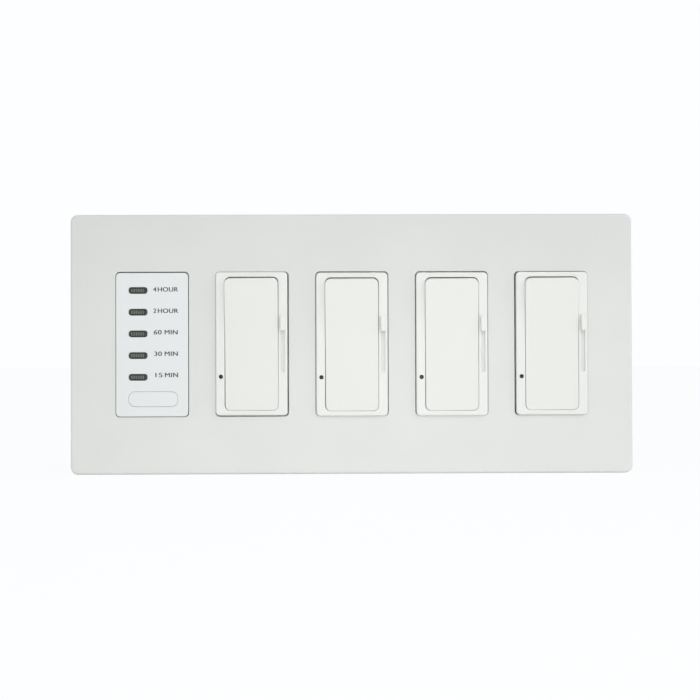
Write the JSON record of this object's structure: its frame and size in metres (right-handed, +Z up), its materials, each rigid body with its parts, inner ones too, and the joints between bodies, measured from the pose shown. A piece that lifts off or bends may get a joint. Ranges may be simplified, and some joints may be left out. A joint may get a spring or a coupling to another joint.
{
  "type": "timer light switch",
  "caption": "Screwless wall plate with a countdown timer, which has a push button and pill windows, beside slide dimmers with rocker paddles.",
  "frame": {"origin": "middle of the centre gang's two box screws, on the wall's surface", "axes": "+X to the right along the plate, +Z up, and the front faces -Y"},
  "size_m": [0.2596, 0.038, 0.12],
  "materials": {
    "cover_plastic": "moulded, satin",
    "face_plastic": "moulded, satin",
    "paddle_plastic": "moulded, satin",
    "smoked_lens": "smoked clear plastic",
    "indicator_lens": "smoked light pipe",
    "adapter_plastic": "moulded, matt",
    "housing_plastic": "moulded thermoset, matt",
    "strap_steel": "zinc plated",
    "strap_aluminium": "pressed sheet",
    "screw_steel": "zinc plated",
    "board_laminate": "green laminate",
    "component_black": "moulded epoxy",
    "control_case": "moulded case",
    "relay_case": "moulded case",
    "film_capacitor": "cast box",
    "led_package": "clear epoxy",
    "carrier_plastic": "acetal"
  },
  "bodies": {
    "root": {"wallplate_cover": "cover_plastic", "wallplate_adapter": "adapter_plastic", "adapter_screws": "screw_steel", "box_screws": "screw_steel", "timer_strap": "strap_steel", "timer_housing": "housing_plastic", "timer_face": "face_plastic", "timer_windows": "smoked_lens", "timer_display_board": "board_laminate", "timer_leds": "led_package", "timer_push_switch": "component_black", "timer_power_board": "board_laminate", "timer_pin_header": "component_black", "timer_relay": "relay_case", "timer_capacitor": "film_capacitor", "dimmer_power_switches": "control_case", "dimmer_chokes": "component_black", "dimmer_triacs": "component_black", "dimmer_1_strap": "strap_aluminium", "dimmer_1_housing": "housing_plastic", "dimmer_1_circuit_board": "board_laminate", "dimmer_1_bezel": "face_plastic", "dimmer_1_slide_control": "control_case", "dimmer_1_indicator_light": "indicator_lens", "dimmer_2_strap": "strap_aluminium", "dimmer_2_housing": "housing_plastic", "dimmer_2_circuit_board": "board_laminate", "dimmer_2_bezel": "face_plastic", "dimmer_2_slide_control": "control_case", "dimmer_2_indicator_light": "indicator_lens", "dimmer_3_strap": "strap_aluminium", "dimmer_3_housing": "housing_plastic", "dimmer_3_circuit_board": "board_laminate", "dimmer_3_bezel": "face_plastic", "dimmer_3_slide_control": "control_case", "dimmer_3_indicator_light": "indicator_lens", "dimmer_4_strap": "strap_aluminium", "dimmer_4_housing": "housing_plastic", "dimmer_4_circuit_board": "board_laminate", "dimmer_4_bezel": "face_plastic", "dimmer_4_slide_control": "control_case", "dimmer_4_indicator_light": "indicator_lens"},
    "timer_button": {"timer_button": "face_plastic", "timer_switch_plunger": "carrier_plastic"},
    "dimmer_1_paddle": {"dimmer_1_paddle": "paddle_plastic"},
    "dimmer_1_slider": {"dimmer_1_slider": "face_plastic"},
    "dimmer_1_contact_carrier": {"dimmer_1_contact_carrier": "carrier_plastic"},
    "dimmer_2_paddle": {"dimmer_2_paddle": "paddle_plastic"},
    "dimmer_2_slider": {"dimmer_2_slider": "face_plastic"},
    "dimmer_2_contact_carrier": {"dimmer_2_contact_carrier": "carrier_plastic"},
    "dimmer_3_paddle": {"dimmer_3_paddle": "paddle_plastic"},
    "dimmer_3_slider": {"dimmer_3_slider": "face_plastic"},
    "dimmer_3_contact_carrier": {"dimmer_3_contact_carrier": "carrier_plastic"},
    "dimmer_4_paddle": {"dimmer_4_paddle": "paddle_plastic"},
    "dimmer_4_slider": {"dimmer_4_slider": "face_plastic"},
    "dimmer_4_contact_carrier": {"dimmer_4_contact_carrier": "carrier_plastic"}
  },
  "joints": [
    {"name": "timer_button_press", "type": "slide", "parent": "root", "child": "timer_button", "axis": [0, 1, 0], "range_m": [0, 0.0006], "stiffness_N_per_m": 800, "springref_m": -0.0006},
    {"name": "dimmer_1_rock", "type": "hinge", "parent": "root", "child": "dimmer_1_paddle", "pos_m": [-0.04626, -0.0044, 0.0002], "axis": [-1, 0, 0], "range_deg": [0, 8]},
    {"name": "dimmer_1_contact_slide", "type": "slide", "parent": "root", "child": "dimmer_1_contact_carrier", "axis": [0, 0, -1], "range_m": [0, 0.00097]},
    {"name": "dimmer_1_level", "type": "slide", "parent": "root", "child": "dimmer_1_slider", "axis": [0, 0, -1], "range_m": [0, 0.0176]},
    {"name": "dimmer_2_rock", "type": "hinge", "parent": "root", "child": "dimmer_2_paddle", "pos_m": [0, -0.0044, -0.0002], "axis": [-1, 0, 0], "range_deg": [0, 8]},
    {"name": "dimmer_2_contact_slide", "type": "slide", "parent": "root", "child": "dimmer_2_contact_carrier", "axis": [0, 0, -1], "range_m": [0, 0.00097]},
    {"name": "dimmer_2_level", "type": "slide", "parent": "root", "child": "dimmer_2_slider", "axis": [0, 0, -1], "range_m": [0, 0.0176]},
    {"name": "dimmer_3_rock", "type": "hinge", "parent": "root", "child": "dimmer_3_paddle", "pos_m": [0.04616, -0.0044, -0.0002], "axis": [-1, 0, 0], "range_deg": [0, 8]},
    {"name": "dimmer_3_contact_slide", "type": "slide", "parent": "root", "child": "dimmer_3_contact_carrier", "axis": [0, 0, -1], "range_m": [0, 0.00097]},
    {"name": "dimmer_3_level", "type": "slide", "parent": "root", "child": "dimmer_3_slider", "axis": [0, 0, -1], "range_m": [0, 0.0176]},
    {"name": "dimmer_4_rock", "type": "hinge", "parent": "root", "child": "dimmer_4_paddle", "pos_m": [0.09236, -0.0044, 0], "axis": [-1, 0, 0], "range_deg": [0, 8]},
    {"name": "dimmer_4_contact_slide", "type": "slide", "parent": "root", "child": "dimmer_4_contact_carrier", "axis": [0, 0, -1], "range_m": [0, 0.00097]},
    {"name": "dimmer_4_level", "type": "slide", "parent": "root", "child": "dimmer_4_slider", "axis": [0, 0, -1], "range_m": [0, 0.0176]}
  ],
  "couplings": [
    {"joint": "dimmer_1_contact_slide", "follows": "dimmer_1_rock", "m_per_rad": 0.0069},
    {"joint": "dimmer_2_contact_slide", "follows": "dimmer_2_rock", "m_per_rad": 0.0069},
    {"joint": "dimmer_3_contact_slide", "follows": "dimmer_3_rock", "m_per_rad": 0.0069},
    {"joint": "dimmer_4_contact_slide", "follows": "dimmer_4_rock", "m_per_rad": 0.0069}
  ]
}
